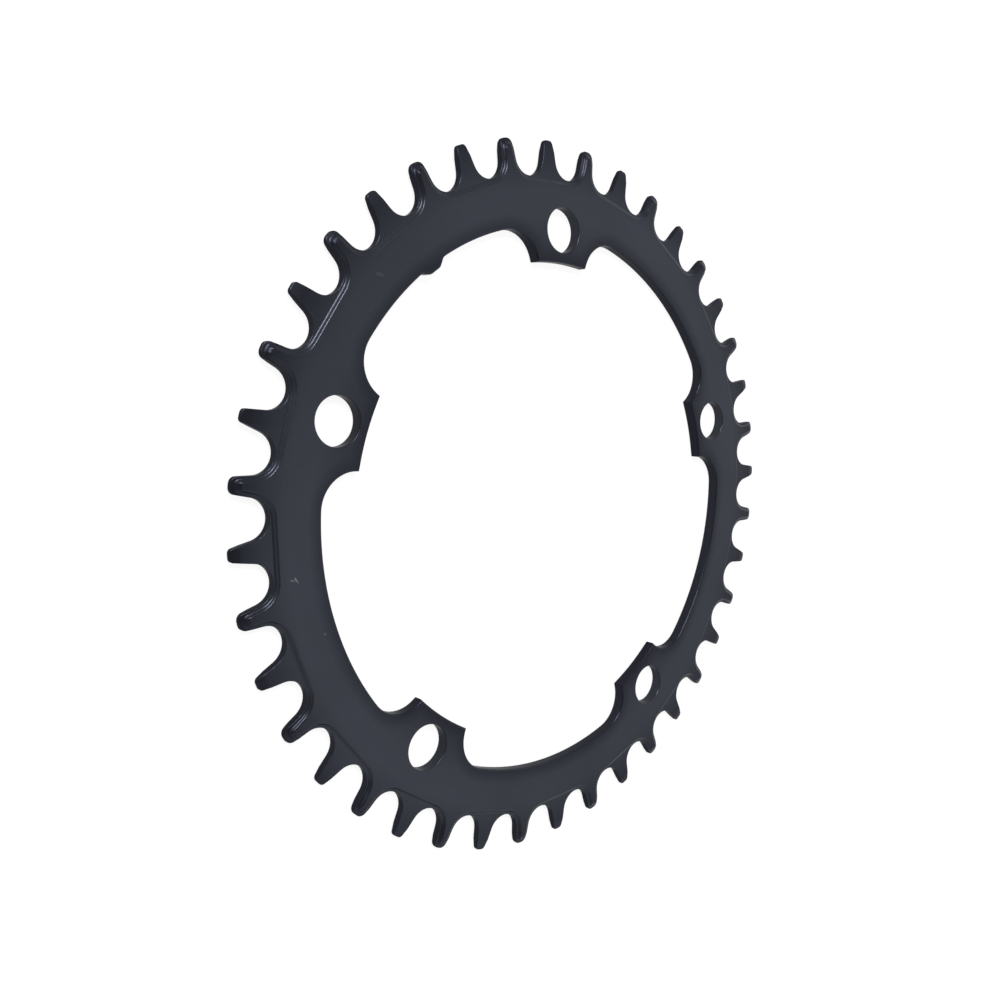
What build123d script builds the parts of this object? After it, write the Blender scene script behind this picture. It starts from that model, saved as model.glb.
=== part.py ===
"""Narrow-wide bicycle chainring: one flat plate with thick and thin teeth in turn and five bolt tabs.

The ring lies on its back face. Its axis is Z, the back face is at z = 0 and a bolt hole is on +Y.
Sizes are in millimetres and angles in degrees.
"""
import os
from math import asin, atan2, cos, degrees, pi, radians, sin, tan

from build123d import *

# Chain and teeth
chain_pitch = 12.7
thick_tooth_count = 20
roller_seat_radius = 4.26
tooth_height = 3.97
tooth_turn = 3.43
thin_tooth_thickness = 1.8
thin_tooth_taper = 10.5
thick_tooth_taper = 6.0
thin_tip_round = 0.9
thick_tip_round = 1.4
tip_thickness = 0.9
thin_bevel_length = 2.5

# Raised pads of the thick teeth
plate_thickness = 3.0
pad_ledge = 0.78
pad_taper = 3.0
pad_bevel_length = 2.1
pad_end_inset = 0.3
pad_runout = 0.05

# Bolt tabs, set in from the pitch circle so that the bolt circle is 130 mm across
arm_count = 5
bolt_circle_inset = 15.934
bolt_hole_radius = 5.2
bolt_hole_chamfer = 0.2
tab_wall = 2.37
tab_half_angle = 8.1
window_offset = 0.44

# Alignment bump, midway between two tabs
bump_height = 1.42
bump_top_width = 3.0
bump_base_width = 7.2
bump_round = 1.2

# Worked out from the sizes above
tooth_count = 2 * thick_tooth_count
half_pitch_angle = 180 / tooth_count
thick_pitch_angle = 360 / thick_tooth_count
arm_angle = 360 / arm_count
first_arm_angle = 90
thin_tooth_angle = first_arm_angle + tooth_turn
tip_flat_turn = thin_tooth_angle + half_pitch_angle
bump_angle = first_arm_angle + arm_angle / 2
pitch_radius = chain_pitch / (2 * sin(pi / tooth_count))
seat_reach = pitch_radius * cos(pi / tooth_count)
tooth_tip_radius = pitch_radius + tooth_height
pad_end_radius = tooth_tip_radius - pad_end_inset
bolt_circle_radius = pitch_radius - bolt_circle_inset
tab_radius = bolt_circle_radius - bolt_hole_radius - tab_wall
window_radius = bolt_circle_radius + window_offset
mid_height = plate_thickness / 2
core_bevel_height = (thin_tooth_thickness - tip_thickness) / 2
pad_end_drop = core_bevel_height * (1 - pad_end_inset / thin_bevel_length) + pad_runout
pad_bevel_height = (plate_thickness - thin_tooth_thickness) / 2 + pad_end_drop
tip_fillet_share = 0.9


def bevelled_blank(reach, thickness, bevel_length, bevel_height):
    """A disc with a flat for each tooth's tip, bevelled along both rims and centred in the plate."""
    with BuildPart() as blank:
        with BuildSketch(Plane.XY.offset(mid_height - thickness / 2)):
            RegularPolygon(reach, tooth_count, major_radius=False, rotation=tip_flat_turn)
        extrude(amount=thickness)
        for face in blank.faces().filter_by(Axis.Z):
            chamfer(face.edges(), bevel_length, bevel_height, reference=face)
    return blank.part


def tip_corners(outline):
    """The corners of a tooth outline that lie on the flats at the teeth's tips."""
    return outline.vertices().filter_by(lambda v: v.center().length > tooth_tip_radius)


def on_thin_tooth(vertex):
    """True where a vertex lies on a thin tooth, by its angle about the ring's axis."""
    angle = degrees(atan2(vertex.Y, vertex.X)) - thin_tooth_angle + half_pitch_angle
    return angle % thick_pitch_angle < thick_pitch_angle / 2


def tip_fillet(wanted, taper):
    """A tip corner's radius, kept within half of the tooth's own tip."""
    half_root = chain_pitch / 2 - roller_seat_radius / cos(radians(taper))
    half_tip = half_root - (tooth_tip_radius - seat_reach) * tan(radians(taper))
    return min(wanted, tip_fillet_share * half_tip / tan(radians(90 - taper) / 2))


# One space between a thin tooth, above, and a thick tooth, below, opening along +X
with BuildSketch() as tooth_space:
    thin_flank_angle = half_pitch_angle + thin_tooth_taper
    thick_flank_angle = half_pitch_angle + thick_tooth_taper
    with BuildLine():
        seat = CenterArc(
            (pitch_radius, 0),
            roller_seat_radius,
            90 + thin_flank_angle,
            180 - thin_flank_angle - thick_flank_angle,
        )
        thin_flank = PolarLine(seat @ 0, chain_pitch, thin_flank_angle)
        thick_flank = PolarLine(seat @ 1, chain_pitch, -thick_flank_angle)
        Line(thin_flank @ 1, thick_flank @ 1)
    make_face()

# One pocket around a thin tooth, from one thick tooth's pad to the next, opening along +X
with BuildSketch() as pocket:
    corner_radius = roller_seat_radius + pad_ledge
    pad_side_angle = thick_pitch_angle / 2 + pad_taper
    with BuildLine():
        corner = CenterArc((seat_reach, chain_pitch / 2), corner_radius, 180, pad_side_angle - 90)
        Line((seat_reach - corner_radius, 0), corner @ 0)
        pad_side = PolarLine(corner @ 1, chain_pitch, pad_side_angle)
        Line(pad_side @ 1, ((pad_side @ 1).X, 0))
        mirror(about=Plane.XZ)
    make_face()

# Thin core: the outline of every tooth, cut from a bevelled blank
with BuildPart() as core:
    with BuildSketch() as tooth_outline:
        RegularPolygon(tooth_tip_radius, tooth_count, major_radius=False, rotation=tip_flat_turn)
        with PolarLocations(0, thick_tooth_count, thin_tooth_angle - half_pitch_angle):
            add(tooth_space.sketch, mode=Mode.SUBTRACT)
        with PolarLocations(0, thick_tooth_count, thin_tooth_angle + half_pitch_angle):
            add(mirror(tooth_space.sketch, about=Plane.XZ, mode=Mode.PRIVATE), mode=Mode.SUBTRACT)
        thin_corners = tip_corners(tooth_outline).filter_by(on_thin_tooth)
        fillet(thin_corners, tip_fillet(thin_tip_round, thin_tooth_taper))
        thick_corners = tip_corners(tooth_outline).filter_by(lambda v: not on_thin_tooth(v))
        fillet(thick_corners, tip_fillet(thick_tip_round, thick_tooth_taper))
    extrude(amount=plate_thickness)
    core_blank = bevelled_blank(tooth_tip_radius, thin_tooth_thickness, thin_bevel_length, core_bevel_height)
    add(core_blank, mode=Mode.INTERSECT)

# Full-thickness plate: straight steps across the thin teeth and a raised pad on each thick tooth
with BuildPart() as plate:
    add(bevelled_blank(pad_end_radius, plate_thickness, pad_bevel_length - pad_end_inset, pad_bevel_height))
    with BuildSketch():
        with PolarLocations(0, thick_tooth_count, thin_tooth_angle):
            add(pocket.sketch)
    extrude(amount=plate_thickness, mode=Mode.SUBTRACT)

# Alignment bump, pointing along -X from the window's edge and rooted in the plate
with BuildSketch() as bump:
    with BuildLine():
        Polyline(
            (-bump_height, 0),
            (-bump_height, bump_top_width / 2),
            (0, bump_base_width / 2),
            (bump_height, bump_base_width / 2),
            (bump_height, 0),
        )
        mirror(about=Plane.XZ)
    make_face()

# The finished ring: core and plate in one, with the window, the bump and the bolt holes
with BuildPart() as chainring:
    add(core.part)
    add(plate.part)
    with BuildSketch() as window:
        Circle(tab_radius)
        scallop_radius = window_radius - tab_radius
        scallop_angle = tab_half_angle + 2 * degrees(asin(scallop_radius / (2 * tab_radius)))
        with BuildLine(mode=Mode.PRIVATE) as cutter_path:
            CenterArc((0, 0), tab_radius, scallop_angle, arm_angle - 2 * scallop_angle)
        with PolarLocations(0, arm_count, first_arm_angle):
            SlotArc(cutter_path.edge(), 2 * scallop_radius)
        with PolarLocations(window_radius, 1, bump_angle):
            add(bump.sketch, mode=Mode.SUBTRACT)
        bump_place = Vector(window_radius, 0).rotate(Axis.Z, bump_angle)
        fillet(window.vertices().sort_by_distance(bump_place)[:4], bump_round)
    extrude(amount=plate_thickness, mode=Mode.SUBTRACT)
    with PolarLocations(bolt_circle_radius, arm_count, first_arm_angle):
        Hole(bolt_hole_radius, depth=plate_thickness)
    bolt_rims = chainring.edges(Select.LAST).filter_by(GeomType.CIRCLE)
    chamfer(bolt_rims, bolt_hole_chamfer)

chainring.part.label = "chainring"
os.makedirs("parts", exist_ok=True)
export_step(chainring.part, "parts/chainring.step")
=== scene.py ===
"""Looks of a narrow-wide bicycle chainring: one black anodised ring that lies on a white studio floor."""
from math import asin, atan2, cos, pi, radians, sin, tan

import bpy
from mathutils import Matrix, Vector
from mathutils.geometry import intersect_line_sphere_2d


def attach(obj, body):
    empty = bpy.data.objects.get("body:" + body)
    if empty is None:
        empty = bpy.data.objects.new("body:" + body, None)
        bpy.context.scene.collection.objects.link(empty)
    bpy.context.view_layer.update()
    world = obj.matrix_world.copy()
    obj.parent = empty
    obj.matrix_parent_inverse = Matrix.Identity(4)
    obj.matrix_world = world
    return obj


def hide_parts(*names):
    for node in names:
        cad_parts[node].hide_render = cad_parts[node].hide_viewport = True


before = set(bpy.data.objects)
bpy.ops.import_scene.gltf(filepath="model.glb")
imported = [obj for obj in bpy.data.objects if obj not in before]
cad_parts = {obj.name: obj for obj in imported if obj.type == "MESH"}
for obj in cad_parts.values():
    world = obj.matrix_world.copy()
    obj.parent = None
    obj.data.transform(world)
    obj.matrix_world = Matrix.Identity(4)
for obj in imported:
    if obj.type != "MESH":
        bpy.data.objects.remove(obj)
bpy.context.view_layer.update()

bl_info = {
    "name": "Chainring",
    "version": (1, 0, 0),
    "blender": (4, 5, 0),
    "location": "View3D > Sidebar > Chainring",
    "description": "Models a narrow-wide chainring with eased edges and sets it on a studio floor",
    "category": "Object",
}

# One millimetre, and the distance within which two places count as one
MM = 0.001
NEAR = 0.002 * MM

# Straight lines that each curve is drawn in
TIP_STEPS = 6
SEAT_STEPS = 16
PAD_END_STEPS = 6
POCKET_STEPS = 10
RIM_STEPS = 6
WINDOW_STEPS = 14
SCALLOP_STEPS = 14
TAB_STEPS = 5
HOLE_STEPS = 24
JOIN_STEPS = 24

# Bands of faces across each rounded edge, and the angle from which an edge stays sharp
EDGE_BANDS = 4
HOLE_EDGE_BANDS = 3
SHARP_ANGLE = radians(35)

# Where the teeth begin, as a distance from the axis
TEETH_BAND = (71 * MM, 73 * MM)

# Where a pad begins, as a height above the plate's middle, in shares of a thin tooth's thickness
PAD_BAND = (0.5, 0.55)

# How flat a surface lies where the walls of the teeth give way to the faces: 0 is upright and 1 is level
WALL_TINT_BAND = (0.6, 0.95)
# Band across which the painted shade on the walls of the teeth fades out towards the level faces
WALL_PAINTED_SHADE_BAND = (0.5, 0.99)

# Painted shade: where the colour is darkened, on the walls of the teeth, along the window's edge, near the
# tabs' inner edges and towards the tips, and the share of the face's colour that is left there
WALL_PAINTED_SHADE_SHARE = 0.55
WINDOW_PAINTED_SHADE_BAND = (0, 3.4 * MM)
WINDOW_PAINTED_SHADE_SHARE = 0.39
TAB_PAINTED_SHADE_BAND = (57.4 * MM, 68 * MM)
TAB_PAINTED_SHADE_SHARE = 0.45
TIP_PAINTED_SHADE_BAND = (73.5 * MM, 82 * MM)
TIP_PAINTED_SHADE_SHARE = 0.38

# Mottle and grain of the finish
MOTTLE_SCALE = 45
MOTTLE_DETAIL = 3
MOTTLE_BAND = (0.25, 0.75)
MOTTLE_DEPTH = 0.08
GRAIN_SCALE = 6000
GRAIN_DETAIL = 2
GRAIN_BAND = (0.2, 0.8)
GRAIN_DEPTH = 0.01
GRAIN_STRENGTH = 0.02
GRAIN_HEIGHT = 0.002 * MM

# Small scuffs on the front face, as strokes: start, end and half width in millimetres, and strength
SCUFFS = (
    ((-72.40, -10.80), (-71.85, -11.00), 0.16, 0.7),
    ((-71.85, -11.00), (-71.20, -10.90), 0.13, 0.5),
    ((-71.50, -10.45), (-71.20, -10.90), 0.16, 1.0),
    ((-71.20, -10.90), (-70.80, -11.45), 0.14, 0.8),
    ((-64.80, -22.66), (-64.65, -22.62), 0.17, 0.8),
    ((-52.75, 49.75), (-51.60, 49.60), 0.5, 0.13),
)

# Share of a stroke's half width that has its full strength
SCUFF_CORE = 0.3

# Grey of the floor, and how far it glows white where it is seen, so that its shadow stays faint
FLOOR_GREY = 0.9
FLOOR_GLOW = 0.9

# Soft lamps: name, place, and width and height, in metres
LAMPS = (
    ("key", (-0.269, 0.485, 0.709), (0.36, 0.2)),
    ("soft_key", (-0.384, 0.548, 0.602), (0.58, 0.38)),
    ("right", (1.387, 0.333, 1.402), (1.19, 0.92)),
    ("top", (0.469, 0.813, 1.766), (1.0, 1.0)),
    ("left", (1.131, -0.64, 1.521), (1.26, 1.22)),
    ("far_left", (0.487, -1.499, 1.231), (1.78, 1.46)),
    ("near_left", (-0.369, -0.913, 1.261), (0.9, 0.7)),
    ("overhead", (0.927, -0.375, 1.732), (0.8, 0.4)),
)

# Where the surroundings change, along a direction of length 1: upwards, and away from the camera
CEILING_BAND = (0.4, 0.75)
FAR_WALL_TOP_BAND = (0.2, 0.45)
FAR_WALL_SIDE_BAND = (0.3, 0.8)

# Camera: width of its sensor in millimetres, and the nearest and farthest that it sees in metres
SENSOR_WIDTH = 36
CLIP_START = 0.005
CLIP_END = 50


class ChainringTeeth(bpy.types.PropertyGroup):
    """Sizes of the toothed rim."""

    tooth_count: bpy.props.IntProperty(
        name="Tooth count",
        description="Number of teeth, thin and thick together",
        default=40,
    )
    chain_pitch: bpy.props.FloatProperty(
        name="Chain pitch",
        description="Distance from one chain roller to the next",
        default=12.7 * MM,
        unit="LENGTH",
    )
    tooth_height: bpy.props.FloatProperty(
        name="Tooth height",
        description="Height of the teeth above the pitch circle",
        default=3.97 * MM,
        unit="LENGTH",
    )
    tooth_turn: bpy.props.FloatProperty(
        name="Tooth turn",
        description="How far the first thin tooth is turned past the first bolt hole",
        default=radians(3.43),
        subtype="ANGLE",
    )
    seat_radius: bpy.props.FloatProperty(
        name="Seat radius",
        description="Radius of the roller seats between the teeth",
        default=4.26 * MM,
        unit="LENGTH",
    )
    plate_thickness: bpy.props.FloatProperty(
        name="Plate thickness",
        description="Thickness of the ring",
        default=3 * MM,
        unit="LENGTH",
    )
    core_thickness: bpy.props.FloatProperty(
        name="Thin tooth thickness",
        description="Thickness of the thin teeth",
        default=1.8 * MM,
        unit="LENGTH",
    )
    thin_taper: bpy.props.FloatProperty(
        name="Thin taper",
        description="Slope of each flank of a thin tooth",
        default=radians(10.5),
        subtype="ANGLE",
    )
    thick_taper: bpy.props.FloatProperty(
        name="Thick taper",
        description="Slope of each flank of a thick tooth",
        default=radians(6),
        subtype="ANGLE",
    )
    thin_tip_round: bpy.props.FloatProperty(
        name="Thin tip round",
        description="Radius of the corners of a thin tooth's tip",
        default=0.9 * MM,
        unit="LENGTH",
    )
    thick_tip_round: bpy.props.FloatProperty(
        name="Thick tip round",
        description="Radius of the corners of a thick tooth's tip",
        default=1.4 * MM,
        unit="LENGTH",
    )
    tip_bevel: bpy.props.FloatProperty(
        name="Tip bevel",
        description="Length of the bevel that thins each tooth towards its tip",
        default=2.5 * MM,
        unit="LENGTH",
    )
    tip_thickness: bpy.props.FloatProperty(
        name="Tip thickness",
        description="Thickness of a tooth at its tip",
        default=0.9 * MM,
        unit="LENGTH",
    )
    pad_ledge: bpy.props.FloatProperty(
        name="Pad ledge",
        description="Width of the ledge around the pad of a thick tooth",
        default=0.58 * MM,
        unit="LENGTH",
    )
    pad_taper: bpy.props.FloatProperty(
        name="Pad taper",
        description="Slope of each side of a pad",
        default=radians(6),
        subtype="ANGLE",
    )
    pad_end: bpy.props.FloatProperty(
        name="Pad end",
        description="Distance of a pad's end from the axis",
        default=84.25 * MM,
        unit="LENGTH",
    )
    pad_end_round: bpy.props.FloatProperty(
        name="Pad end round",
        description="Radius of the corners of a pad's end",
        default=1.0 * MM,
        unit="LENGTH",
    )
    pad_bevel_start: bpy.props.FloatProperty(
        name="Pad bevel start",
        description="Distance from the axis at which a pad starts to fall off",
        default=82.804 * MM,
        unit="LENGTH",
    )
    pad_slope: bpy.props.FloatProperty(
        name="Pad slope",
        description="How steeply a pad falls off towards the tip",
        default=0.581,
    )
    tooth_round: bpy.props.FloatProperty(
        name="Tooth round",
        description="Rounding along the edge of the teeth",
        default=0.2 * MM,
        unit="LENGTH",
    )
    step_slope: bpy.props.FloatProperty(
        name="Step slope",
        description="Width of the sloping wall of the step, seen from above",
        default=0.5 * MM,
        unit="LENGTH",
    )
    step_fillet: bpy.props.FloatProperty(
        name="Step fillet",
        description="Hollow rounding at the foot of the step",
        default=0.3 * MM,
        unit="LENGTH",
    )
    step_round: bpy.props.FloatProperty(
        name="Step round",
        description="Rounding along the upper edge of the step",
        default=0.24 * MM,
        unit="LENGTH",
    )
    rim_radius: bpy.props.FloatProperty(
        name="Rim radius",
        description="Inner radius of the toothed rim, where the tabbed plate joins it",
        default=74.5 * MM,
        unit="LENGTH",
    )


class ChainringPlate(bpy.types.PropertyGroup):
    """Sizes of the tabbed plate inside the teeth."""

    arm_count: bpy.props.IntProperty(
        name="Tab count",
        description="Number of bolt tabs",
        default=5,
    )
    bolt_circle_radius: bpy.props.FloatProperty(
        name="Bolt circle radius",
        description="Distance of the bolt holes from the axis",
        default=65 * MM,
        unit="LENGTH",
    )
    bolt_hole_radius: bpy.props.FloatProperty(
        name="Bolt hole radius",
        description="Radius of the bolt holes",
        default=5.2 * MM,
        unit="LENGTH",
    )
    bolt_hole_round: bpy.props.FloatProperty(
        name="Bolt hole round",
        description="Rounding along the edge of a bolt hole",
        default=0.32 * MM,
        unit="LENGTH",
    )
    tab_radius: bpy.props.FloatProperty(
        name="Tab radius",
        description="Distance of the tabs' inner edges from the axis",
        default=57.43 * MM,
        unit="LENGTH",
    )
    tab_half_angle: bpy.props.FloatProperty(
        name="Tab half angle",
        description="Half of the angle that a tab's inner edge spans",
        default=radians(8.1),
        subtype="ANGLE",
    )
    window_radius: bpy.props.FloatProperty(
        name="Window radius",
        description="Radius of the window between the tabs",
        default=65.44 * MM,
        unit="LENGTH",
    )
    window_round: bpy.props.FloatProperty(
        name="Window round",
        description="Rounding along the edge of the window",
        default=0.55 * MM,
        unit="LENGTH",
    )
    bump_height: bpy.props.FloatProperty(
        name="Bump height",
        description="Height of the alignment bump",
        default=1.42 * MM,
        unit="LENGTH",
    )
    bump_top_width: bpy.props.FloatProperty(
        name="Bump top width",
        description="Width of the alignment bump at its top",
        default=3 * MM,
        unit="LENGTH",
    )
    bump_base_width: bpy.props.FloatProperty(
        name="Bump base width",
        description="Width of the alignment bump at its base",
        default=7.2 * MM,
        unit="LENGTH",
    )
    bump_round: bpy.props.FloatProperty(
        name="Bump round",
        description="Width of the rounding on the alignment bump's corners",
        default=0.385 * MM,
        unit="LENGTH",
    )
    join_radius: bpy.props.FloatProperty(
        name="Join radius",
        description="Outer radius of the tabbed plate, where it joins the toothed rim",
        default=73.5 * MM,
        unit="LENGTH",
    )


class ChainringFinish(bpy.types.PropertyGroup):
    """Colours and gloss of the black metal, with the colour of its painted shade."""

    face_colour: bpy.props.FloatVectorProperty(
        name="Face colour",
        description="Colour of the flat faces",
        default=(0.0295, 0.0322, 0.0405),
        size=3,
        subtype="COLOR",
        min=0,
        max=1,
    )
    # Painted shade: the colour that the faces are darkened towards near the window, the tabs' inner edges,
    # the tips and on the walls of the teeth
    painted_shade_colour: bpy.props.FloatVectorProperty(
        name="Dark colour",
        description="Colour that the faces take towards the window, the tips and the walls of the teeth",
        default=(0.0115, 0.012, 0.0175),
        size=3,
        subtype="COLOR",
        min=0,
        max=1,
    )
    edge_tint: bpy.props.FloatProperty(
        name="Edge tint",
        description="How strongly the metal reflects at a glancing angle",
        default=0.7,
        subtype="FACTOR",
    )
    tooth_tint: bpy.props.FloatProperty(
        name="Tooth tint",
        description="How strongly the walls of the teeth reflect at a glancing angle",
        default=0.55,
        subtype="FACTOR",
    )
    metallic: bpy.props.FloatProperty(
        name="Metallic",
        description="How far the finish reflects like bare metal",
        default=0.7,
        subtype="FACTOR",
    )
    specular: bpy.props.FloatProperty(
        name="Specular",
        description="Strength of the reflections that keep the lamps' colour",
        default=0.0,
        subtype="FACTOR",
    )
    roughness: bpy.props.FloatProperty(
        name="Roughness",
        description="Roughness of the satin finish",
        default=0.28,
        subtype="FACTOR",
    )
    scuff_colour: bpy.props.FloatVectorProperty(
        name="Scuff colour",
        description="Colour of the small scuffs on the front face",
        default=(0.13, 0.135, 0.145),
        size=3,
        subtype="COLOR",
        min=0,
        max=1,
    )


class ChainringStage(bpy.types.PropertyGroup):
    """Floor, lamps, surroundings and camera."""

    floor_size: bpy.props.FloatProperty(
        name="Floor size",
        description="Side of the floor",
        default=6.0,
        unit="LENGTH",
    )
    key_power: bpy.props.FloatProperty(
        name="Key power",
        description="Power of the small lamp beside the camera, towards the first bolt hole",
        default=8.0,
        unit="POWER",
    )
    soft_key_power: bpy.props.FloatProperty(
        name="Soft key power",
        description="Power of the wider lamp next to the key lamp",
        default=1.2,
        unit="POWER",
    )
    right_power: bpy.props.FloatProperty(
        name="Right power",
        description="Power of the soft lamp across from the camera, towards the first bolt hole",
        default=4.4,
        unit="POWER",
    )
    top_power: bpy.props.FloatProperty(
        name="Top power",
        description="Power of the soft lamp high above the first bolt hole",
        default=4.0,
        unit="POWER",
    )
    left_power: bpy.props.FloatProperty(
        name="Left power",
        description="Power of the soft lamp across from the camera, away from the first bolt hole",
        default=4.4,
        unit="POWER",
    )
    far_left_power: bpy.props.FloatProperty(
        name="Far left power",
        description="Power of the soft lamp on the side away from the first bolt hole",
        default=8.0,
        unit="POWER",
    )
    near_left_power: bpy.props.FloatProperty(
        name="Near left power",
        description="Power of the soft lamp beside the camera, away from the first bolt hole",
        default=2.4,
        unit="POWER",
    )
    overhead_power: bpy.props.FloatProperty(
        name="Overhead power",
        description="Power of the lamp above the lamps across from the camera",
        default=1.0,
        unit="POWER",
    )
    horizon: bpy.props.FloatProperty(
        name="Horizon",
        description="Strength of the surroundings near the floor",
        default=1.0,
    )
    far_wall: bpy.props.FloatProperty(
        name="Far wall",
        description="How much stronger the surroundings are near the floor across from the camera",
        default=2.3,
    )
    ceiling: bpy.props.FloatProperty(
        name="Ceiling",
        description="Strength of the surroundings overhead",
        default=0.06,
    )
    lens: bpy.props.FloatProperty(
        name="Lens",
        description="Focal length of the camera in millimetres on a 36 mm sensor",
        default=34.273,
        subtype="DISTANCE_CAMERA",
    )
    camera_place: bpy.props.FloatVectorProperty(
        name="Camera place",
        description="Where the camera stands",
        default=(-0.163986, 0.026079, 0.165984),
        size=3,
        subtype="TRANSLATION",
        unit="LENGTH",
        precision=5,
    )
    camera_turn: bpy.props.FloatVectorProperty(
        name="Camera turn",
        description="How the camera is turned",
        default=(radians(-7.4881), radians(-41.6641), radians(1.7275)),
        size=3,
        subtype="EULER",
        unit="ROTATION",
    )


def deselect_all():
    """Leave edit mode with nothing selected."""
    if bpy.context.object and bpy.context.object.mode != "OBJECT":
        bpy.ops.object.mode_set(mode="OBJECT")
    bpy.ops.object.select_all(action="DESELECT")


def begin_outline(name, place):
    """Start a piece as one point, from which its outline is drawn."""
    deselect_all()
    bpy.ops.mesh.primitive_plane_add(size=MM, location=(0, 0, 0))
    piece = bpy.context.object
    piece.name = name
    piece.data.name = name
    bpy.ops.object.mode_set(mode="EDIT")
    bpy.ops.mesh.select_mode(type="VERT")
    bpy.ops.mesh.merge(type="CENTER")
    bpy.ops.transform.translate(value=place)
    return piece


def line_to(path, *places):
    """Carry an outline on in straight lines."""
    for place in places:
        bpy.ops.mesh.extrude_region_move(TRANSFORM_OT_translate={"value": place - path[-1]})
        path.append(place)


def arc_about(path, centre, turn, steps):
    """Carry an outline on around a centre, anticlockwise where the turn is positive."""
    bpy.ops.mesh.spin(steps=steps, angle=-turn, center=centre, axis=(0, 0, 1))
    arm = path[-1] - centre
    for step in range(1, steps + 1):
        path.append(centre + Matrix.Rotation(turn * step / steps, 3, "Z") @ arm)


def select_points(piece, *places):
    """Select the corners of a piece that lie at given places."""
    bpy.ops.mesh.select_mode(type="VERT")
    bpy.ops.mesh.select_all(action="DESELECT")
    bpy.ops.object.mode_set(mode="OBJECT")
    for vertex in piece.data.vertices:
        vertex.select = any((vertex.co - place).length < NEAR for place in places)
    bpy.ops.object.mode_set(mode="EDIT")


def select_paths(piece, *paths):
    """Select the edges of a piece that run along given paths."""
    bpy.ops.mesh.select_mode(type="EDGE")
    bpy.ops.mesh.select_all(action="DESELECT")
    bpy.ops.object.mode_set(mode="OBJECT")
    for path in paths:
        spots = {}
        for vertex in piece.data.vertices:
            for number, place in enumerate(path):
                if (vertex.co - place).length < NEAR:
                    spots[vertex.index] = number
        for edge in piece.data.edges:
            first, second = (spots.get(index) for index in edge.vertices)
            if first is not None and second is not None and abs(first - second) == 1:
                edge.select = True
    bpy.ops.object.mode_set(mode="EDIT")


def select_edges(piece, face_count, wanted):
    """Select the edges of a piece that bound so many faces and whose two ends both pass a test."""
    bpy.ops.mesh.select_mode(type="EDGE")
    bpy.ops.mesh.select_all(action="DESELECT")
    bpy.ops.object.mode_set(mode="OBJECT")
    faces_at = {}
    for face in piece.data.polygons:
        for pair in face.edge_keys:
            faces_at[pair] = faces_at.get(pair, 0) + 1
    for edge in piece.data.edges:
        ends = [piece.data.vertices[index].co for index in edge.vertices]
        edge.select = faces_at.get(edge.key, 0) == face_count and all(wanted(end) for end in ends)
    bpy.ops.object.mode_set(mode="EDIT")


def merge_doubles():
    """Merge corners that lie on each other."""
    bpy.ops.mesh.select_all(action="SELECT")
    bpy.ops.mesh.remove_doubles(threshold=NEAR)


def round_edges(width, bands):
    """Round the selected edges."""
    bpy.ops.mesh.bevel(offset=width, segments=bands, profile=0.5, affect="EDGES", clamp_overlap=False)


def add_mirror_image(scale, centre):
    """Add the mirror image of the whole piece to it."""
    bpy.ops.mesh.select_all(action="SELECT")
    bpy.ops.mesh.duplicate()
    bpy.ops.transform.resize(value=scale, center_override=centre)
    merge_doubles()


def turn_piece(angle):
    """Turn the whole piece about the ring's axis."""
    bpy.ops.mesh.select_all(action="SELECT")
    bpy.ops.transform.rotate(value=-angle, orient_axis="Z", center_override=(0, 0, 0))


def copy_round(count, pitch):
    """Copy the whole piece around the ring's axis until there are so many."""
    bpy.ops.mesh.select_all(action="SELECT")
    turn = pitch * (count - 1)
    bpy.ops.mesh.spin(dupli=True, steps=count - 1, angle=-turn, center=(0, 0, 0), axis=(0, 0, 1))
    merge_doubles()


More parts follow.
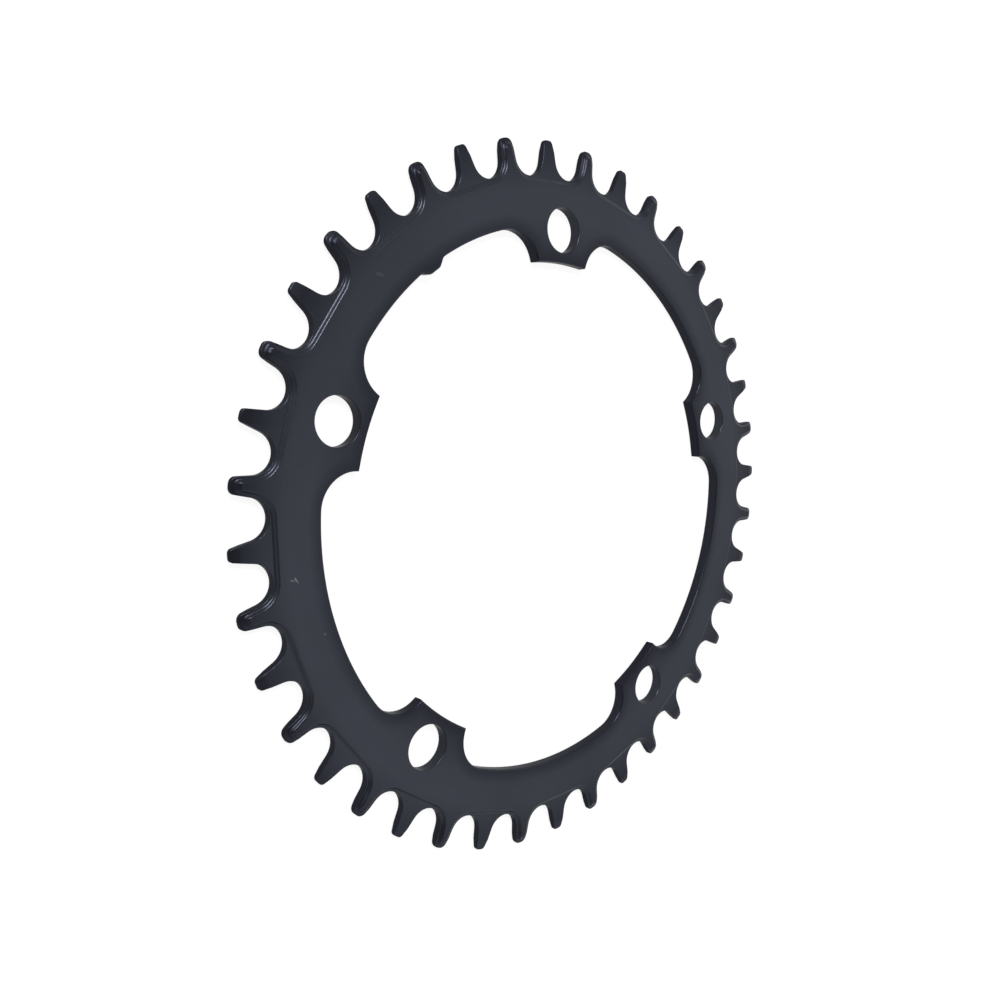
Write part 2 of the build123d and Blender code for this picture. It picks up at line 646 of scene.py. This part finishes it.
class ToothLayout:
    """Places on half of a thin tooth, which points along X, and half of the thick tooth beside it."""

    def __init__(self, shape):
        self.shape = shape
        self.half_pitch = pi / shape.tooth_count
        pitch_radius = shape.chain_pitch / (2 * sin(self.half_pitch))
        self.seat_reach = pitch_radius * cos(self.half_pitch)
        self.tip = pitch_radius + shape.tooth_height
        self.bevel_start = self.tip - shape.tip_bevel
        self.top = shape.plate_thickness
        self.middle = shape.plate_thickness / 2
        self.floor = (shape.plate_thickness + shape.core_thickness) / 2
        self.corner_turn = 2 * self.half_pitch + shape.pad_taper
        self.thick_frame = Matrix.Rotation(2 * self.half_pitch, 3, "Z") @ Matrix.Diagonal((1, -1, 1))

    def on_thin(self, along, across, height):
        """A place along and across the thin tooth."""
        return Vector((along, across, height))

    def on_thick(self, along, across, height):
        """A place along and across the thick tooth."""
        return self.thick_frame @ Vector((along, across, height))

    def seat_centre(self, height):
        """The centre of the roller seat between the two teeth."""
        return Vector((self.seat_reach, self.shape.chain_pitch / 2, height))

    def tip_corner(self, taper, fillet):
        """How far along and across a tooth the centre of its tip's rounded corner lies."""
        half_root = self.shape.chain_pitch / 2 - self.shape.seat_radius / cos(taper)
        half_tip = half_root - (self.tip - self.seat_reach) * tan(taper)
        return self.tip - fillet, half_tip - fillet * tan((pi / 2 - taper) / 2)

    def half_width(self, taper, fillet, along):
        """Half of a tooth's width at a place along its straight flank."""
        centre_along, centre_across = self.tip_corner(taper, fillet)
        end_along = centre_along + fillet * sin(taper)
        end_across = centre_across + fillet * cos(taper)
        return end_across + (end_along - along) * tan(taper)

    def thin_bevel_point(self):
        """Where the bevel of the thin tooth's tip starts on its flank."""
        across = self.half_width(self.shape.thin_taper, self.shape.thin_tip_round, self.bevel_start)
        return self.on_thin(self.bevel_start, across, self.floor)

    def thick_bevel_point(self):
        """Where the bevel of the thick tooth's tip starts on its flank."""
        across = self.half_width(self.shape.thick_taper, self.shape.thick_tip_round, self.bevel_start)
        return self.on_thick(self.bevel_start, across, self.floor)

    def pad_corner(self, ledge):
        """Where a pad's straight side meets the curve around the seat, along and across the thick tooth."""
        arm = Vector((-sin(self.corner_turn), cos(self.corner_turn), 0)) * (self.shape.seat_radius + ledge)
        return self.thick_frame.inverted() @ (self.seat_centre(0) + arm)

    def pad_half_width(self, ledge, along):
        """Half of a pad's width at a place along its straight side."""
        corner = self.pad_corner(ledge)
        return corner.y - (along - corner.x) * tan(self.shape.pad_taper)

    def pad_side(self, ledge, along, height):
        """A place on a pad's straight side."""
        return self.on_thick(along, self.pad_half_width(ledge, along), height)


def draw_tooth_edge(layout):
    """Draw the edge of the teeth, from the thin tooth's tip to the thick tooth's."""
    shape = layout.shape
    floor = layout.floor
    seat = layout.seat_centre(floor)
    thin_along, thin_across = layout.tip_corner(shape.thin_taper, shape.thin_tip_round)
    thick_along, thick_across = layout.tip_corner(shape.thick_taper, shape.thick_tip_round)
    seat_start = Vector((-sin(shape.thin_taper), -cos(shape.thin_taper), 0)) * shape.seat_radius
    seat_sweep = pi - 2 * layout.half_pitch - shape.thin_taper - shape.thick_taper
    corner_start = Vector((sin(shape.thick_taper), cos(shape.thick_taper))) * shape.thick_tip_round
    path = [layout.on_thin(layout.tip, 0, floor)]
    piece = begin_outline("toothed_ring", path[0])
    line_to(path, layout.on_thin(layout.tip, thin_across, floor))
    arc_about(path, layout.on_thin(thin_along, thin_across, floor), pi / 2 - shape.thin_taper, TIP_STEPS)
    line_to(path, layout.thin_bevel_point(), seat + seat_start)
    arc_about(path, seat, -seat_sweep, SEAT_STEPS)
    line_to(path, layout.thick_bevel_point())
    line_to(path, layout.on_thick(thick_along + corner_start.x, thick_across + corner_start.y, floor))
    arc_about(path, layout.on_thick(thick_along, thick_across, floor), pi / 2 - shape.thick_taper, TIP_STEPS)
    line_to(path, layout.on_thick(layout.tip, 0, floor))
    return piece, path


def draw_step(layout, path, run, height):
    """Draw the step around a pad and across the thin tooth's root, so far in from its foot."""
    shape = layout.shape
    ledge = shape.pad_ledge + run
    pad_end = shape.pad_end - run
    pad_round = shape.pad_end_round - run
    pad_flat = layout.pad_half_width(ledge, pad_end) - pad_round * tan((pi / 2 - shape.pad_taper) / 2)
    corner = layout.pad_corner(ledge)
    line_to(path, layout.on_thick(pad_end, 0, height), layout.on_thick(pad_end, pad_flat, height))
    round_centre = layout.on_thick(pad_end - pad_round, pad_flat, height)
    arc_about(path, round_centre, shape.pad_taper - pi / 2, PAD_END_STEPS)
    line_to(path, layout.pad_side(ledge, shape.pad_bevel_start, height))
    line_to(path, layout.pad_side(ledge, layout.bevel_start, height))
    line_to(path, layout.on_thick(corner.x, corner.y, height))
    arc_about(path, layout.seat_centre(height), pi / 2 - layout.corner_turn, POCKET_STEPS)
    line_to(path, layout.on_thin(layout.seat_reach - shape.seat_radius - ledge, 0, height))


def model_teeth(layout):
    """Model the upper half of half a thin tooth and half the thick tooth beside it."""
    shape = layout.shape
    top = layout.top
    floor = layout.floor
    piece, tooth_edge = draw_tooth_edge(layout)

    # Floor of the pocket, closed along the foot of the step
    thin_bevel_middle = layout.on_thin(layout.bevel_start, 0, floor)
    step_foot = [tooth_edge[-1]]
    draw_step(layout, step_foot, 0, floor)
    way_back = [step_foot[-1]]
    line_to(way_back, thin_bevel_middle, tooth_edge[0])
    step_foot = step_foot[1:]
    merge_doubles()
    bpy.ops.mesh.edge_face_add()
    select_points(piece, layout.thin_bevel_point(), thin_bevel_middle)
    bpy.ops.mesh.vert_connect()
    pad_bevel_point = layout.pad_side(shape.pad_ledge, layout.bevel_start, floor)
    select_points(piece, layout.thick_bevel_point(), pad_bevel_point)
    bpy.ops.mesh.vert_connect()

    # Wall below the edge of the teeth
    select_paths(piece, tooth_edge)
    bpy.ops.mesh.extrude_region_move(TRANSFORM_OT_translate={"value": (0, 0, layout.middle - floor)})

    # Top face, from the upper edge of the step to an arc inside the teeth
    edge_ledge = shape.pad_ledge + shape.step_slope
    pad_ridge = layout.on_thick(shape.pad_bevel_start, 0, top)
    select_points(piece, step_foot[0])
    step_edge = [step_foot[0]]
    draw_step(layout, step_edge, shape.step_slope, top)
    way_back = [step_edge[-1]]
    line_to(way_back, layout.on_thin(shape.rim_radius, 0, top))
    arc_about(way_back, Vector((0, 0, top)), 2 * layout.half_pitch, RIM_STEPS)
    line_to(way_back, pad_ridge, step_edge[1])
    step_edge = step_edge[1:]
    merge_doubles()
    select_paths(piece, step_edge, way_back)
    bpy.ops.mesh.edge_face_add()
    select_points(piece, pad_ridge, layout.pad_side(edge_ledge, shape.pad_bevel_start, top))
    bpy.ops.mesh.vert_connect()
    select_paths(piece, step_foot, step_edge)
    bpy.ops.mesh.bridge_edge_loops()

    # Rounded edges
    for path, width in (
        (tooth_edge, shape.tooth_round),
        (step_foot, shape.step_fillet),
        (step_edge, shape.step_round),
    ):
        select_paths(piece, path)
        round_edges(width, EDGE_BANDS)
    return piece


def bevel_tips(piece, layout):
    """Lower the corners near the tips, so that the teeth thin out and the pads run into them."""
    shape = layout.shape
    middle = layout.middle
    core_half = shape.core_thickness / 2
    step = middle - core_half
    core_slope = (core_half - shape.tip_thickness / 2) / shape.tip_bevel
    thick_axis = Vector((cos(2 * layout.half_pitch), sin(2 * layout.half_pitch), 0))
    bpy.ops.object.mode_set(mode="OBJECT")
    for vertex in piece.data.vertices:
        along = max(vertex.co.x, vertex.co.dot(thick_axis))
        core_height = core_half - core_slope * max(0, along - layout.bevel_start)
        pad_height = middle - shape.pad_slope * max(0, along - shape.pad_bevel_start)
        height = vertex.co.z - middle
        if height > core_half:
            share = (height - core_half) / step
            height = core_height + share * max(0, pad_height - core_height)
        else:
            height = height * core_height / core_half
        vertex.co.z = middle + height
    bpy.ops.object.mode_set(mode="EDIT")


def window_turns(plate):
    """Turn from a window's middle to the centre of its scalloped corner, and from there to the tab."""
    scallop_radius = plate.window_radius - plate.tab_radius
    scallop_turn = 2 * asin(scallop_radius / (2 * plate.tab_radius))
    return pi / plate.arm_count - plate.tab_half_angle - scallop_turn, scallop_turn


def model_window(plate, top, with_bump):
    """Model the plate's upper half from the middle of a window to the middle of a tab, and mirror it."""
    half_arm = pi / plate.arm_count
    axis_top = Vector((0, 0, top))
    window_end, scallop_turn = window_turns(plate)

    def at(radius, angle):
        return Vector((radius * cos(angle), radius * sin(angle), top))

    bolt = at(plate.bolt_circle_radius, half_arm)

    def on_top(end):
        return end.z > top - NEAR

    def near_hole(end):
        return (end - bolt).length < plate.bolt_hole_radius + NEAR

    # Edge of the window, from its middle to the middle of the tab
    bump_corners = []
    if with_bump:
        bump_top = plate.window_radius - plate.bump_height
        window_edge = [Vector((bump_top, 0, top))]
        piece = begin_outline("bump_window", window_edge[0])
        top_corner = Vector((bump_top, plate.bump_top_width / 2, top))
        base = Vector((plate.window_radius, plate.bump_base_width / 2, top))
        foot = intersect_line_sphere_2d(top_corner.xy, base.xy, Vector((0, 0)), plate.window_radius)[0]
        bump_corners = [top_corner, Vector((*foot, top))]
        line_to(window_edge, *bump_corners)
    else:
        window_edge = [at(plate.window_radius, 0)]
        piece = begin_outline("plain_window", window_edge[0])
    window_turn = window_end - atan2(window_edge[-1].y, window_edge[-1].x)
    arc_about(window_edge, axis_top, window_turn, WINDOW_STEPS)
    arc_about(window_edge, at(plate.tab_radius, window_end), pi / 2 + scallop_turn / 2, SCALLOP_STEPS)
    arc_about(window_edge, axis_top, plate.tab_half_angle, TAB_STEPS)

    # Edge of the bolt hole, and the way back along the join with the toothed rim
    way_back = [window_edge[-1]]
    line_to(way_back, at(plate.bolt_circle_radius - plate.bolt_hole_radius, half_arm))
    hole_edge = [way_back[-1]]
    arc_about(hole_edge, bolt, pi, HOLE_STEPS)
    way_back = [hole_edge[-1]]
    line_to(way_back, at(plate.join_radius, half_arm))
    arc_about(way_back, axis_top, -half_arm, JOIN_STEPS)
    line_to(way_back, window_edge[0])
    merge_doubles()
    bpy.ops.mesh.edge_face_add()

    # Walls down to the middle of the plate, and rounded edges
    select_paths(piece, window_edge, hole_edge)
    bpy.ops.mesh.extrude_region_move(TRANSFORM_OT_translate={"value": (0, 0, -top / 2)})
    for corner in bump_corners:
        select_edges(piece, 2, lambda end: (end - corner).xy.length < NEAR)
        round_edges(plate.bump_round, EDGE_BANDS)
    select_edges(piece, 2, lambda end: on_top(end) and not near_hole(end))
    round_edges(plate.window_round, EDGE_BANDS)
    select_edges(piece, 2, lambda end: on_top(end) and near_hole(end))
    round_edges(plate.bolt_hole_round, HOLE_EDGE_BANDS)
    add_mirror_image((1, -1, 1), (0, 0, 0))
    return piece


def join_plate_and_teeth(piece, thickness):
    """Bridge the gap between the tabbed plate and the toothed rim on both faces."""
    for height in (0, thickness):
        select_edges(piece, 1, lambda end: abs(end.z - height) < NEAR)
        bpy.ops.mesh.bridge_edge_loops()


def model_ring(teeth, plate):
    """Model the toothed rim and the tabbed plate, and join them into one ring."""
    top = teeth.plate_thickness
    arm_angle = 2 * pi / plate.arm_count
    bump_angle = pi / 2 + arm_angle / 2
    bump_window = model_window(plate, top, True)
    turn_piece(bump_angle)
    plain_window = model_window(plate, top, False)
    turn_piece(bump_angle + arm_angle)
    copy_round(plate.arm_count - 1, arm_angle)
    layout = ToothLayout(teeth)
    ring = model_teeth(layout)
    bevel_tips(ring, layout)
    add_mirror_image((1, -1, 1), (0, 0, 0))
    turn_piece(pi / 2 + teeth.tooth_turn)
    copy_round(teeth.tooth_count // 2, 4 * layout.half_pitch)
    deselect_all()
    bump_window.select_set(True)
    plain_window.select_set(True)
    ring.select_set(True)
    bpy.context.view_layer.objects.active = ring
    bpy.ops.object.join()
    bpy.ops.object.mode_set(mode="EDIT")
    add_mirror_image((1, 1, -1), (0, 0, top / 2))
    join_plate_and_teeth(ring, top)
    bpy.ops.mesh.select_all(action="SELECT")
    bpy.ops.mesh.normals_make_consistent(inside=False)
    bpy.ops.object.mode_set(mode="OBJECT")
    bpy.ops.object.shade_smooth_by_angle(angle=SHARP_ANGLE)
    normals = ring.modifiers.new("Flat faces", "WEIGHTED_NORMAL")
    normals.keep_sharp = True
    bpy.ops.object.modifier_apply(modifier=normals.name)
    return ring


class NodeKit:
    """Adds nodes to a node tree and links them."""

    def __init__(self, tree):
        self.nodes = tree.nodes
        self.links = tree.links

    def put(self, socket, value):
        """Link an output to an input, or set the input to a constant."""
        if isinstance(value, bpy.types.NodeSocket):
            self.links.new(value, socket)
        else:
            socket.default_value = value

    def add(self, kind, **inputs):
        """Add a node with some of its inputs set."""
        node = self.nodes.new(kind)
        for name, value in inputs.items():
            self.put(node.inputs[name], value)
        return node

    def maths(self, operation, *values):
        """One step of arithmetic."""
        node = self.nodes.new("ShaderNodeMath")
        node.operation = operation
        for socket, value in zip(node.inputs, values):
            self.put(socket, value)
        return node.outputs["Value"]

    def vectors(self, operation, first, second, output="Vector"):
        """One step of vector arithmetic."""
        node = self.nodes.new("ShaderNodeVectorMath")
        node.operation = operation
        self.put(node.inputs[0], first)
        self.put(node.inputs[1], second)
        return node.outputs[output]

    def scaled(self, vector, factor):
        """A vector or colour times a number."""
        node = self.nodes.new("ShaderNodeVectorMath")
        node.operation = "SCALE"
        self.put(node.inputs[0], vector)
        self.put(node.inputs["Scale"], factor)
        return node.outputs["Vector"]

    def ramp(self, value, low, high, to_low, to_high, kind="SMOOTHSTEP"):
        """A soft change from one value to another."""
        node = self.add("ShaderNodeMapRange", Value=value)
        node.interpolation_type = kind
        for name, number in (("From Min", low), ("From Max", high), ("To Min", to_low), ("To Max", to_high)):
            node.inputs[name].default_value = number
        return node.outputs["Result"]

    def mix(self, kind, factor, first, second):
        """A mix of two colours or of two numbers."""
        node = self.nodes.new("ShaderNodeMix")
        node.data_type = kind
        for name, value in (("Factor", factor), ("A", first), ("B", second)):
            self.put(node.inputs[name], value)
        return node.outputs["Result"]

    def noise(self, place, scale, detail):
        """Noise between 0 and 1."""
        node = self.add("ShaderNodeTexNoise", Vector=place, Scale=scale, Detail=detail)
        return node.outputs["Fac"]


def scuff_mask(kit, place, height):
    """Where the scuffs on the front face are, and how strong."""
    mask = 0.0
    for start, end, half_width, strength in SCUFFS:
        start = Vector((*start, 0)) * MM + Vector((0, 0, height))
        along = Vector((*end, 0)) * MM + Vector((0, 0, height)) - start
        arm = kit.vectors("SUBTRACT", place, start)
        share = kit.maths("DIVIDE", kit.vectors("DOT_PRODUCT", arm, along, "Value"), along.length_squared)
        share = kit.maths("MINIMUM", kit.maths("MAXIMUM", share, 0.0), 1.0)
        foot = kit.add("ShaderNodeCombineXYZ")
        for axis, part in zip("XYZ", along):
            kit.put(foot.inputs[axis], kit.maths("MULTIPLY", share, part))
        distance = kit.vectors("DISTANCE", arm, foot.outputs["Vector"], "Value")
        stroke = kit.ramp(distance, SCUFF_CORE * half_width * MM, half_width * MM, strength, 0)
        mask = kit.maths("MAXIMUM", stroke, mask)
    return mask


def window_distance(kit, spot, reach, plate):
    """How far a spot is from the window's edge: a disc with a round-ended slot between each two tabs."""
    half_arm = pi / plate.arm_count
    half_slot = plate.window_radius - plate.tab_radius
    slot_end = window_turns(plate)[0]
    turn = kit.maths("SUBTRACT", kit.maths("ARCTAN2", spot["Y"], spot["X"]), pi / 2 + half_arm)
    turn = kit.maths("ABSOLUTE", kit.maths("WRAP", turn, half_arm, -half_arm))
    past_end = kit.maths("MAXIMUM", kit.maths("SUBTRACT", turn, slot_end), 0.0)
    from_disc = kit.maths("SUBTRACT", reach, plate.tab_radius)
    bend = kit.maths("SUBTRACT", 1.0, kit.maths("COSINE", past_end))
    bend = kit.maths("MULTIPLY", kit.maths("MULTIPLY", reach, 2 * plate.tab_radius), bend)
    from_path = kit.maths("SQRT", kit.maths("MULTIPLY_ADD", from_disc, from_disc, bend))
    return kit.maths("MINIMUM", from_disc, kit.maths("SUBTRACT", from_path, half_slot))


def tooth_mask(kit, spot, reach, teeth):
    """Where the teeth and the floors between the pads are."""
    height = kit.maths("ABSOLUTE", kit.maths("SUBTRACT", spot["Z"], teeth.plate_thickness / 2))
    pad_foot, pad_rise = (share * teeth.core_thickness for share in PAD_BAND)
    outside = kit.ramp(reach, *TEETH_BAND, 0, 1)
    below = kit.ramp(height, pad_foot, pad_rise, 1, 0)
    return kit.maths("MULTIPLY", outside, below)


def black_anodised(finish, teeth, plate):
    """Satin black metal, mottled a little, with painted shade that darkens it towards its edges and tips and
    on the walls of its teeth, and with small scuffs on the front.
    """
    material = bpy.data.materials.new("black_anodised")
    material.use_nodes = True
    kit = NodeKit(material.node_tree)
    shader = kit.nodes["Principled BSDF"]
    shader.inputs["Metallic"].default_value = finish.metallic
    shader.inputs["Specular IOR Level"].default_value = finish.specular
    coords = kit.add("ShaderNodeTexCoord")
    place = coords.outputs["Object"]
    turned = kit.add("ShaderNodeSeparateXYZ", Vector=coords.outputs["Normal"])
    flatness = kit.maths("ABSOLUTE", turned.outputs["Z"])
    spot = kit.add("ShaderNodeSeparateXYZ", Vector=place).outputs
    flat_spot = kit.add("ShaderNodeCombineXYZ", X=spot["X"], Y=spot["Y"])
    reach = kit.vectors("LENGTH", flat_spot.outputs["Vector"], (0, 0, 0), "Value")
    on_teeth = tooth_mask(kit, spot, reach, teeth)

    # Glancing reflections, weaker on the walls of the teeth
    on_walls = kit.maths("MULTIPLY", on_teeth, kit.ramp(flatness, *WALL_TINT_BAND, 1, 0))
    edge_grey = (finish.edge_tint, finish.edge_tint, finish.edge_tint, 1)
    tooth_grey = (finish.tooth_tint, finish.tooth_tint, finish.tooth_tint, 1)
    kit.put(shader.inputs["Specular Tint"], kit.mix("RGBA", on_walls, edge_grey, tooth_grey))

    # Colour, with painted shade on the walls of the teeth and towards the window, the tabs' inner edges and
    # the tips
    wall_shade = kit.mix("FLOAT", on_teeth, 1, kit.ramp(flatness, *WALL_PAINTED_SHADE_BAND, WALL_PAINTED_SHADE_SHARE, 1))
    from_edge = window_distance(kit, spot, reach, plate)
    window_shade = kit.ramp(from_edge, *WINDOW_PAINTED_SHADE_BAND, WINDOW_PAINTED_SHADE_SHARE, 1, "LINEAR")
    tab_shade = kit.ramp(reach, *TAB_PAINTED_SHADE_BAND, TAB_PAINTED_SHADE_SHARE, 1, "LINEAR")
    tip_shade = kit.ramp(reach, *TIP_PAINTED_SHADE_BAND, 1, TIP_PAINTED_SHADE_SHARE, "LINEAR")
    share = kit.maths("MULTIPLY", wall_shade, tip_shade)
    share = kit.maths("MULTIPLY", share, kit.maths("MULTIPLY", window_shade, tab_shade))
    painted_shade_tone = kit.mix("RGBA", share, (*finish.painted_shade_colour, 1), (*finish.face_colour, 1))
    scuffs = scuff_mask(kit, place, teeth.plate_thickness)
    scuffed = kit.mix("RGBA", scuffs, painted_shade_tone, (*finish.scuff_colour, 1))
    mottle = kit.noise(place, MOTTLE_SCALE, MOTTLE_DETAIL)
    mottle = kit.ramp(mottle, *MOTTLE_BAND, 1 - MOTTLE_DEPTH, 1 + MOTTLE_DEPTH, "LINEAR")
    kit.put(shader.inputs["Base Color"], kit.scaled(scuffed, mottle))

    # Fine grain
    grain = kit.noise(place, GRAIN_SCALE, GRAIN_DETAIL)
    smooth = finish.roughness - GRAIN_DEPTH
    rough = finish.roughness + GRAIN_DEPTH
    kit.put(shader.inputs["Roughness"], kit.ramp(grain, *GRAIN_BAND, smooth, rough))
    bump = kit.add("ShaderNodeBump", Strength=GRAIN_STRENGTH, Distance=GRAIN_HEIGHT, Height=grain)
    kit.put(shader.inputs["Normal"], bump.outputs["Normal"])
    return material


class CHAINRING_OT_ring(bpy.types.Operator):
    """Model the toothed ring with eased edges and a satin black finish"""

    bl_idname = "chainring.ring"
    bl_label = "Toothed ring"

    def execute(self, context):
        teeth = context.scene.chainring_teeth
        plate = context.scene.chainring_plate
        ring = model_ring(teeth, plate)
        ring.data.materials.clear()
        ring.data.materials.append(black_anodised(context.scene.chainring_finish, teeth, plate))
        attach(ring, "root")
        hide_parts("chainring")
        return {"FINISHED"}


def white_floor():
    """White floor that keeps a faint shadow."""
    material = bpy.data.materials.new("white_floor")
    material.use_nodes = True
    kit = NodeKit(material.node_tree)
    shader = kit.nodes["Principled BSDF"]
    shader.inputs["Base Color"].default_value = (FLOOR_GREY, FLOOR_GREY, FLOOR_GREY, 1)
    shader.inputs["Roughness"].default_value = 1
    shader.inputs["Specular IOR Level"].default_value = 0
    glow = kit.add("ShaderNodeEmission", Strength=1.0)
    ray = kit.add("ShaderNodeLightPath").outputs
    seen = kit.maths("MAXIMUM", ray["Is Camera Ray"], ray["Is Glossy Ray"])
    seen = kit.maths("MAXIMUM", seen, ray["Is Transmission Ray"])
    mix = kit.add("ShaderNodeMixShader", Fac=kit.maths("MULTIPLY", seen, FLOOR_GLOW))
    kit.put(mix.inputs[1], shader.outputs["BSDF"])
    kit.put(mix.inputs[2], glow.outputs["Emission"])
    kit.put(kit.nodes["Material Output"].inputs["Surface"], mix.outputs["Shader"])
    return material


def add_lamp(name, place, size, power):
    """Add a soft lamp that points at the ring."""
    bpy.ops.object.light_add(type="AREA", location=place)
    lamp = bpy.context.object
    lamp.name = name
    lamp.data.shape = "RECTANGLE"
    lamp.data.size, lamp.data.size_y = size
    lamp.data.energy = power
    lamp.rotation_euler = (-Vector(place)).to_track_quat("-Z", "Y").to_euler()
    lamp.visible_camera = False


def studio_surroundings(horizon, far_wall, ceiling):
    """White walls that dim towards the ceiling, brightest low down across from the camera."""
    world = bpy.data.worlds.new("studio_surroundings")
    bpy.context.scene.world = world
    world.use_nodes = True
    kit = NodeKit(world.node_tree)
    background = kit.nodes["Background"]
    background.inputs["Color"].default_value = (1, 1, 1, 1)
    coords = kit.add("ShaderNodeTexCoord")
    aim = kit.add("ShaderNodeSeparateXYZ", Vector=coords.outputs["Generated"]).outputs
    walls = kit.ramp(aim["Z"], *CEILING_BAND, horizon, ceiling)
    low = kit.ramp(aim["Z"], *FAR_WALL_TOP_BAND, far_wall, 0)
    far = kit.ramp(aim["X"], *FAR_WALL_SIDE_BAND, 0, 1)
    kit.put(background.inputs["Strength"], kit.maths("MULTIPLY_ADD", low, far, walls))


class CHAINRING_OT_stage(bpy.types.Operator):
    """Set the floor, the soft lamps, the white surroundings and the camera"""

    bl_idname = "chainring.stage"
    bl_label = "Studio stage"

    def execute(self, context):
        stage = context.scene.chainring_stage
        deselect_all()
        bpy.ops.mesh.primitive_plane_add(size=stage.floor_size, location=(0, 0, 0))
        floor = bpy.context.object
        floor.name = "studio_floor"
        floor.data.materials.append(white_floor())
        for name, place, size in LAMPS:
            add_lamp(f"{name}_lamp", place, size, getattr(stage, f"{name}_power"))
        studio_surroundings(stage.horizon, stage.far_wall, stage.ceiling)
        bpy.ops.object.camera_add(location=stage.camera_place, rotation=stage.camera_turn)
        camera = bpy.context.object
        camera.name = "photo_camera"
        camera.data.sensor_width = SENSOR_WIDTH
        camera.data.lens = stage.lens
        camera.data.clip_start = CLIP_START
        camera.data.clip_end = CLIP_END
        context.scene.camera = camera
        context.scene.view_settings.view_transform = "Standard"
        return {"FINISHED"}


class CHAINRING_PT_panel(bpy.types.Panel):
    """Lists the steps and their sizes and colours"""

    bl_idname = "CHAINRING_PT_panel"
    bl_label = "Chainring"
    bl_space_type = "VIEW_3D"
    bl_region_type = "UI"
    bl_category = "Chainring"

    def draw(self, context):
        for operator, groups in STEPS:
            box = self.layout.box()
            box.operator(operator.bl_idname)
            for group in groups:
                settings = getattr(context.scene, group)
                for name in settings.__annotations__:
                    box.prop(settings, name)


GROUPS = {
    "chainring_teeth": ChainringTeeth,
    "chainring_plate": ChainringPlate,
    "chainring_finish": ChainringFinish,
    "chainring_stage": ChainringStage,
}
STEPS = (
    (CHAINRING_OT_ring, ("chainring_teeth", "chainring_plate", "chainring_finish")),
    (CHAINRING_OT_stage, ("chainring_stage",)),
)
CLASSES = (*GROUPS.values(), CHAINRING_OT_ring, CHAINRING_OT_stage, CHAINRING_PT_panel)


def register():
    """Add the classes and their settings to Blender."""
    for cls in CLASSES:
        bpy.utils.register_class(cls)
    for name, group in GROUPS.items():
        setattr(bpy.types.Scene, name, bpy.props.PointerProperty(type=group))


def unregister():
    """Take the classes and their settings out again."""
    for name in GROUPS:
        delattr(bpy.types.Scene, name)
    for cls in reversed(CLASSES):
        bpy.utils.unregister_class(cls)


def main():
    """Build the ring and its stage."""
    register()
    bpy.ops.chainring.ring()
    bpy.ops.chainring.stage()


if __name__ == "__main__":
    main()
